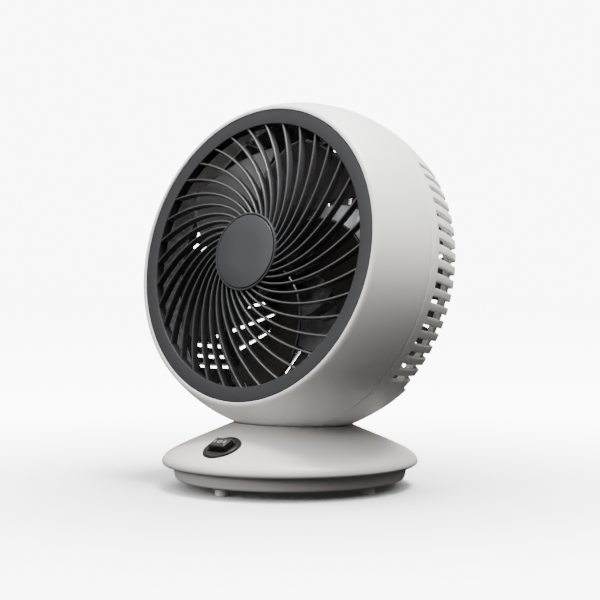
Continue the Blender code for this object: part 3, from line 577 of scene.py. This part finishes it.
def build_rear_details():
    """The hoop behind the side slots' ends, the plate in the back's middle and the chin."""
    hoop = rounded([(0.0935, -0.0268), (0.0935, -0.0290), (0.0915, -0.0306), (0.0890, -0.0300),
                    (0.0890, -0.0268)], 0.0008)
    item = lathe("rear_hoop", hoop, 192, HEAD, WHITE)
    as_piece(item, "head", "shell_white")

    rim_radius = skin_radius(CORNER_Z) - CORNER_RADIUS
    rim_z = -CORNER_Z - CORNER_RADIUS
    drop = BACK_DEPTH + rim_z

    def dome(r):
        return rim_z - drop * (1 - (r / rim_radius) ** 2)

    plate = [(0.0, -BACK_DEPTH + REAR_WALL)]
    plate += [(r, dome(r) + REAR_WALL) for r in between(0.0060, 0.0478, 8)]
    plate += [(0.0482, dome(0.048) + 0.0012), (0.0480, dome(0.048) - 0.0001)]
    plate += [(r, dome(r) - 0.0004) for r in between(0.0475, 0.0060, 12)]
    plate += [(0.0, -BACK_DEPTH - 0.0004)]
    item = lathe("rear_plate", plate, 96, HEAD, WHITE)
    as_piece(item, "head", "shell_white")

    def ball_part(name, inset, start):
        """The ball behind start, turned solid, as far back as the chin's deck needs."""
        end = CHIN_DECK + 0.0020 + inset
        end_z = -(BALL_HALF_DEPTH - inset) * sqrt(1 - (end / (BALL_RADIUS - inset)) ** 2)
        skin = [(skin_radius(z, inset), z) for z in between(start, end_z, 30)]
        return lathe(name, [(0.0, start)] + skin + [(0.0, end_z)], 192, HEAD, WHITE)

    chin = ball_part("rear_chin", 0.00006, CHIN_FRONT_Z)
    cut(chin, ball_part("hollow", WALL, -0.0200))
    cut(chin, solid_box((-0.12, -CHIN_DECK, -0.12), (0.12, 0.12, 0.0), HEAD))
    deck_low = (-0.066, -CHIN_DECK - REAR_WALL, -0.0725)
    deck = solid_box(deck_low, (0.066, -CHIN_DECK, -0.0330), HEAD)
    cut(deck, ball_part("trim", 0.0004, CHIN_FRONT_Z), 'INTERSECT')
    cut(chin, deck, 'UNION')
    cut(chin, tilt_slot())
    as_piece(chin, "head", "shell_white")


# ---------------------------------------------------------------- grille

def vane_front_z(radius):
    share = (radius - HUB_RADIUS) / (OPENING_RADIUS - HUB_RADIUS)
    return GRILLE_FACE_Z - 0.0004 + VANE_RISE * (1 - max(share, 0.0) ** 1.5)


def vane_section():
    """Outline of a vane across its run: a rounded front, straight sides and a thinner tail."""
    half, depth = VANE_HALF_THICKNESS, VANE_DEPTH
    front = [(half * cos(a), -half * 0.9 + half * 0.9 * sin(a)) for a in between(0.0, pi, 7)]
    return front + [(-half, -depth * 0.5), (-half * 0.62, -depth),
                    (half * 0.62, -depth), (half, -depth * 0.5)]


def build_grille():
    ring = rounded([(OPENING_RADIUS, GRILLE_FACE_Z), (0.0882, GRILLE_FACE_Z), (0.0882, 0.0371),
                    (0.0820, 0.0371), (0.0820, 0.0350), (OPENING_RADIUS, 0.0350)], 0.0005)
    item = lathe("grille_ring", ring, 216, HEAD, DARK)
    as_piece(item, "head", "grille_dark", "front_grille")

    cup = rounded_path([(0.0, 0.0466), (0.0222, 0.0466), (0.0222, 0.0478), (0.0225, HUB_FACE_Z),
                        (HUB_RADIUS, HUB_FACE_Z), (HUB_RADIUS, 0.0415), (0.0214, 0.0415),
                        (0.0214, 0.0446), (0.0, 0.0446)], 0.0005)
    item = lathe("grille_hub", cup, 128, HEAD, DARK)
    as_piece(item, "head", "grille_dark")

    disc = rounded_path([(0.0, 0.0487), (0.0120, 0.0487), (BADGE_RADIUS, 0.0484),
                         (BADGE_RADIUS, 0.0470), (0.0, 0.0470)], 0.0004)
    item = lathe("grille_badge_disc", disc, 128, HEAD, BADGE)
    as_piece(item, "head", "grille_dark", "grille_badge")

    bm = bmesh.new()
    section = vane_section()
    radii = between(HUB_RADIUS - 0.0008, OPENING_RADIUS + 0.0008, 26)
    for number in range(VANE_COUNT):
        start = VANE_PHASE + 2 * pi * number / VANE_COUNT
        rings = []
        for radius in radii:
            angle = start + VANE_SWIRL * log(OPENING_RADIUS / radius)
            x, y = polar(radius, angle)
            outward = Vector((sin(angle), cos(angle), 0.0))
            turning = Vector((cos(angle), -sin(angle), 0.0))
            along = (outward - turning * VANE_SWIRL).normalized()
            across = Vector((along.y, -along.x, 0.0))
            top = vane_front_z(radius)
            rings.append([bm.verts.new(Vector((x, y, top + dz)) + across * dx)
                          for dx, dz in section])
        for a, b in zip(rings, rings[1:]):
            for i in range(len(a)):
                j = (i + 1) % len(a)
                bm.faces.new((a[i], a[j], b[j], b[i]))
        bm.faces.new(rings[0])
        bm.faces.new(rings[-1])
    # The vanes take the lighter copy of the grille's plastic: painted light on their sides.
    vanes = finish_mesh("grille_vanes", bm, HEAD, LIT_VANE, 40.0)
    as_piece(vanes, "head", "grille_dark")


# ---------------------------------------------------------------- impeller

def blade_point(radius_share, chord_share, start):
    """A point of a blade, from 0 at its root to 1 at its tip and from -1 to 1 across it."""
    radius = BLADE_ROOT_RADIUS + (BLADE_TIP_RADIUS - BLADE_ROOT_RADIUS) * radius_share
    half_angle = radians(BLADE_HALF_WIDTH_DEGREES - BLADE_TAPER_DEGREES * radius_share)
    sweep = BLADE_SWEEP * radius_share ** 1.3
    x, y = polar(radius, start + sweep + chord_share * half_angle)
    half_height = BLADE_HALF_HEIGHT + 0.0005 * radius_share
    camber = BLADE_CAMBER * (1 - chord_share ** 2)
    return x, y, BLADE_MIDDLE_Z - chord_share * half_height - camber


def build_impeller():
    bm = bmesh.new()
    for number in range(BLADE_COUNT):
        start = BLADE_PHASE + 2 * pi * number / BLADE_COUNT
        rows = []
        for radius_share in between(0.0, 1.0, 24):
            # The blade's two outer corners are rounded.
            trim = max(0.0, (radius_share - TIP_ROUNDING_START) / 0.14)
            reach = 1.0 - 0.16 * trim ** 2.5
            rows.append([bm.verts.new(blade_point(radius_share, c * reach, start))
                         for c in between(-1.0, 1.0, 26)])
        for row, after in zip(rows, rows[1:]):
            for i in range(len(row) - 1):
                bm.faces.new((row[i], row[i + 1], after[i + 1], after[i]))
    blades = finish_mesh("impeller_blades", bm, HEAD, BLADE, 60.0)
    solid = blades.modifiers.new("thickness", 'SOLIDIFY')
    solid.thickness = BLADE_THICKNESS
    solid.offset = 0.0
    edge = blades.modifiers.new("edges", 'BEVEL')
    edge.width = 0.0005
    edge.segments = 3
    edge.limit_method = 'ANGLE'
    edge.angle_limit = radians(50)
    as_piece(blades, "impeller", "blade_smoke", "impeller")

    hub = rounded([(0.0033, 0.0330), (0.0150, 0.0330), (0.0180, 0.0318), (0.0190, 0.0290),
                   (0.0190, 0.0125), (0.0174, 0.0125), (0.0174, 0.0300), (0.0060, 0.0310),
                   (0.0060, 0.0108), (0.0033, 0.0108)], 0.0006)
    item = lathe("impeller_hub", hub, 72, HEAD, BLADE)
    as_piece(item, "impeller", "blade_smoke")


# ---------------------------------------------------------------- base

def ball_bowl(radius):
    """The lower part of a ball about the tilt axis."""
    bottom = [(radius * sin(a), -radius * cos(a)) for a in between(radians(42), 0.0, 60)]
    outline = [(0.0, 0.0), (bottom[0][0], 0.0)] + bottom[:-1] + [(0.0, -radius)]
    return lathe("bowl", outline, 192, Matrix.Translation(HEAD.translation), None)


def cover_curve():
    """The cover's outer outline: a smooth curve through a few stations, from neck to rim."""
    stations = [(0.0300, 0.0402), (0.0360, 0.0379), (0.0440, 0.0345), (0.0520, 0.0311),
                (0.0600, 0.0277), (0.0670, 0.0245), (0.0720, 0.0220), (0.0752, 0.0197),
                (0.0770, 0.0175), (0.0776, 0.0155), (0.0772, 0.0143), (0.0762, 0.0136)]
    points = [Vector(p) for p in stations]
    smooth = []
    for i in range(len(points) - 1):
        a, b = points[max(i - 1, 0)], points[i]
        c, d = points[i + 1], points[min(i + 2, len(points) - 1)]
        for t in (0.0, 0.25, 0.5, 0.75):
            smooth.append(0.5 * ((2 * b) + (c - a) * t + (2 * a - 5 * b + 4 * c - d) * t * t
                                 + (3 * b - a - 3 * c + d) * t ** 3))
    return [(p.x, p.y) for p in smooth + [points[-1]]]


def build_base():
    outer = cover_curve()
    inner = [(r - 0.0010, z - 0.00305) for r, z in reversed(outer[:29])]
    profile = outer + [(0.0750, 0.0134), (0.0730, 0.0136), (0.0730, 0.0165)] + inner[1:]
    # The cover takes the darker copy of the white plastic: painted shade.
    cover = lathe("base_cover_skin", profile, 256, WORLD, SHADED_BASE_WHITE)
    cut(cover, ball_bowl(BALL_RADIUS + CUP_GAP))
    spot = [(0.0, 0.012), (0.0118, 0.012), (0.0118, -0.0015), (0.0, -0.0015)]
    cut(cover, lathe("spot", spot, 96, SWITCH, None))
    hole = [(0.0, 0.012), (0.0100, 0.012), (0.0100, -0.012), (0.0, -0.012)]
    cut(cover, lathe("hole", hole, 96, SWITCH, None))
    as_piece(cover, "base", "shell_white", "base_cover")

    tray = rounded_path([(0.0, 0.0072), (0.0672, 0.0072), (0.0698, 0.0162), (0.0722, 0.0162),
                         (0.0714, 0.0133), (0.0697, 0.0060), (0.0687, 0.0050), (0.0, 0.0050)], 0.0008)
    # The tray takes the darker copy of the white plastic: painted shade.
    item = lathe("base_tray_skin", tray, 256, WORLD, SHADED_TRAY_WHITE)
    for n in range(4):
        angle = pi / 4 + n * pi / 2
        matrix = Matrix.Translation((FOOT_CIRCLE * sin(angle), -FOOT_CIRCLE * cos(angle), 0.0))
        hole = [(0.0, 0.010), (0.0018, 0.010), (0.0018, 0.0056), (0.0031, 0.0046),
                (0.0031, 0.0), (0.0, 0.0)]
        cut(item, lathe("hole", hole, 32, matrix, None))
    matrix = Matrix.Translation((0.0, 0.0700, CORD_HEIGHT)) @ Matrix.Rotation(pi / 2, 4, 'X')
    bore = [(0.0, 0.006), (0.0029, 0.006), (0.0029, -0.006), (0.0, -0.006)]
    cut(item, lathe("bore", bore, 32, matrix, None))
    as_piece(item, "base", "shell_white", "base_tray")

    outline = rounded_path([(0.0, 0.0048), (0.0042, 0.0048), (0.0042, 0.0), (0.0022, 0.0),
                            (0.0, 0.0)], 0.0012, 7)
    for name in ("foot_front", "foot_right", "foot_back", "foot_left"):
        low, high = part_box(name)
        matrix = Matrix.Translation(((low[0] + high[0]) / 2, (low[1] + high[1]) / 2, 0.0))
        item = lathe(name + "_pad", outline, 48, matrix, FOOT)
        as_piece(item, "base", "foot_rubber", name)


# ---------------------------------------------------------------- switch

def rounded_rectangle(half_x, half_y, radius, z):
    points = []
    for number, (sx, sy) in enumerate(((1, 1), (-1, 1), (-1, -1), (1, -1))):
        for angle in between(number * pi / 2, (number + 1) * pi / 2, 6):
            points.append((sx * (half_x - radius) + radius * cos(angle),
                           sy * (half_y - radius) + radius * sin(angle), z))
    return points


def stacked(name, layers, matrix, look):
    """A solid through a stack of outlines with the same number of points."""
    bm = bmesh.new()
    rings = [[bm.verts.new(p) for p in layer] for layer in layers]
    for a, b in zip(rings, rings[1:]):
        for i in range(len(a)):
            j = (i + 1) % len(a)
            bm.faces.new((a[i], a[j], b[j], b[i]))
    bm.faces.new(rings[0])
    bm.faces.new(rings[-1])
    return finish_mesh(name, bm, matrix, look)


def build_switch():
    bezel = rounded_path([(0.0, 0.0006), (0.0096, 0.0006), (0.0100, 0.0012), (0.0108, 0.0013),
                          (0.0115, 0.0006), (0.0115, -0.0012), (0.0097, -0.0012), (0.0097, -0.0095),
                          (0.0, -0.0095)], 0.0004)
    body = lathe("switch_bezel", bezel, 128, SWITCH, BLACK)
    layers = [rounded_rectangle(*POCKET_HALF, 0.0010, z) for z in (-0.0072, 0.0100)]
    cut(body, stacked("pocket", layers, SWITCH, None))
    as_piece(body, "base", "switch_black", "switch_housing")

    half_x, half_y = ROCKER_HALF
    top_x, top_y = ROCKER_TOP_HALF
    layers = [rounded_rectangle(half_x, half_y, 0.0007, -0.0050)]
    for t in between(0.0, 1.0, 6):
        layers.append(rounded_rectangle(half_x - 0.0004 * t, half_y - 0.0003 * t, 0.0008,
                                        -0.0045 + 0.0078 * t))
    for a in between(0.2, pi / 2, 6):
        inset = 0.0010 * (1 - cos(a))
        layers.append(rounded_rectangle(top_x - inset, top_y - inset, 0.0008,
                                        0.0033 + 0.0010 * sin(a)))
    rocker = stacked("switch_rocker_key", layers, SWITCH, BLACK)
    as_piece(rocker, "rocker", "switch_black", "switch_rocker")

    top = MARK_TOP_Z

    def bar(name, x):
        layers = [rounded_rectangle(0.00022, MARK_HALF_HEIGHT, 0.0001, top - 0.0001 + dz)
                  for dz in (0.0, 0.00016)]
        layers = [[(px + x, py, pz) for px, py, pz in layer] for layer in layers]
        as_piece(stacked(name, layers, SWITCH, MARKS), "rocker", "switch_black")

    bar("mark_one", -0.0037)
    bar("mark_two_a", 0.0032)
    bar("mark_two_b", 0.0041)
    low, high = top - 0.0001, top + 0.00006
    ring = [(0.00105, high), (0.00145, high), (0.00145, low), (0.00105, low)]
    item = lathe("mark_off", ring, 48, SWITCH, MARKS)
    as_piece(item, "rocker", "switch_black")


# ---------------------------------------------------------------- stage, lights and camera

def build_stage():
    """A pale floor that brightens away from the object, and a white wall far around it.

    Both are hidden from diffuse, glossy and shadow rays, so they don't light the object.
    """
    bm = bmesh.new()
    bmesh.ops.create_grid(bm, x_segments=2, y_segments=2, size=FLOOR_SIZE)
    look = Look("pale_floor")
    look.link("Base Color", look.ramp(look.noise(0.8), [(0.3, (0.79, 0.79, 0.79)),
                                                        (0.7, (0.81, 0.81, 0.81))]))
    look.link("Roughness", look.spread(look.noise(3.0), 0.75, 0.85))
    look.link("Specular IOR Level", 0.2)
    far = look.node("ShaderNodeVectorMath", (("operation", 'LENGTH'),))
    look.tree.links.new(look.place, far.inputs[0])
    glow = look.spread(far.outputs["Value"], *FLOOR_GLOW_STRENGTHS, *FLOOR_GLOW_DISTANCES)
    look.link("Emission Color", (1.0, 1.0, 1.0, 1.0))
    look.link("Emission Strength", glow)
    floor = finish_mesh("floor", bm, WORLD, look.material)

    bm = bmesh.new()
    bmesh.ops.create_cone(bm, cap_ends=False, segments=128, radius1=BACKDROP_RADIUS,
                          radius2=BACKDROP_RADIUS, depth=BACKDROP_HEIGHT)
    white = Look("white_backdrop")
    white.link("Emission Color", white.ramp(white.noise(0.2), [(0.0, (0.99, 0.99, 0.99)),
                                                               (1.0, (1.0, 1.0, 1.0))]))
    white.link("Emission Strength", BACKDROP_STRENGTH)
    middle = Matrix.Translation((0.0, 0.0, BACKDROP_MIDDLE_Z))
    backdrop = finish_mesh("backdrop", bm, middle, white.material)
    for item in (floor, backdrop):
        item.visible_diffuse = False
        item.visible_glossy = False
        item.visible_shadow = False


def aimed(name, data, place, direction):
    """A light or a camera at a place, looking in a direction."""
    item = bpy.data.objects.new(name, data)
    item.location = place
    item.rotation_euler = direction.to_track_quat('-Z', 'Y').to_euler()
    bpy.context.scene.collection.objects.link(item)
    return item


def area_light(name, place, size, power):
    data = bpy.data.lights.new(name, 'AREA')
    data.shape = 'RECTANGLE'
    data.size = size
    data.size_y = size
    data.energy = power
    aimed(name, data, place, Vector(LIGHT_TARGET) - Vector(place))


def build_lights():
    """A sky that is nearly black at the horizon and bright at the top, and the area lights."""
    world = bpy.data.worlds.new("studio")
    world.use_nodes = True
    nodes, links = world.node_tree.nodes, world.node_tree.links
    sky = nodes["Background"]
    height = nodes.new("ShaderNodeSeparateXYZ")
    links.new(nodes.new("ShaderNodeTexCoord").outputs["Generated"], height.inputs["Vector"])
    ramp = nodes.new("ShaderNodeValToRGB")
    links.new(height.outputs["Z"], ramp.inputs["Fac"])
    links.new(ramp.outputs["Color"], sky.inputs["Color"])
    fill_ramp(ramp.color_ramp, [(position, (value,) * 3) for position, value in SKY_STOPS])
    sky.inputs["Strength"].default_value = SKY_STRENGTH
    bpy.context.scene.world = world
    for light in LIGHTS:
        area_light(*light)


def build_camera():
    data = bpy.data.cameras.new("camera")
    data.lens = CAMERA_LENS
    data.sensor_width = CAMERA_SENSOR
    camera = aimed("camera", data, CAMERA_PLACE, Vector(CAMERA_DIRECTION))
    bpy.context.scene.camera = camera


dress_cad_nodes()
build_camera()
build_stage()
build_lights()
build_front_shell()
build_rear_shell()
build_rear_details()
build_grille()
build_impeller()
build_base()
build_switch()
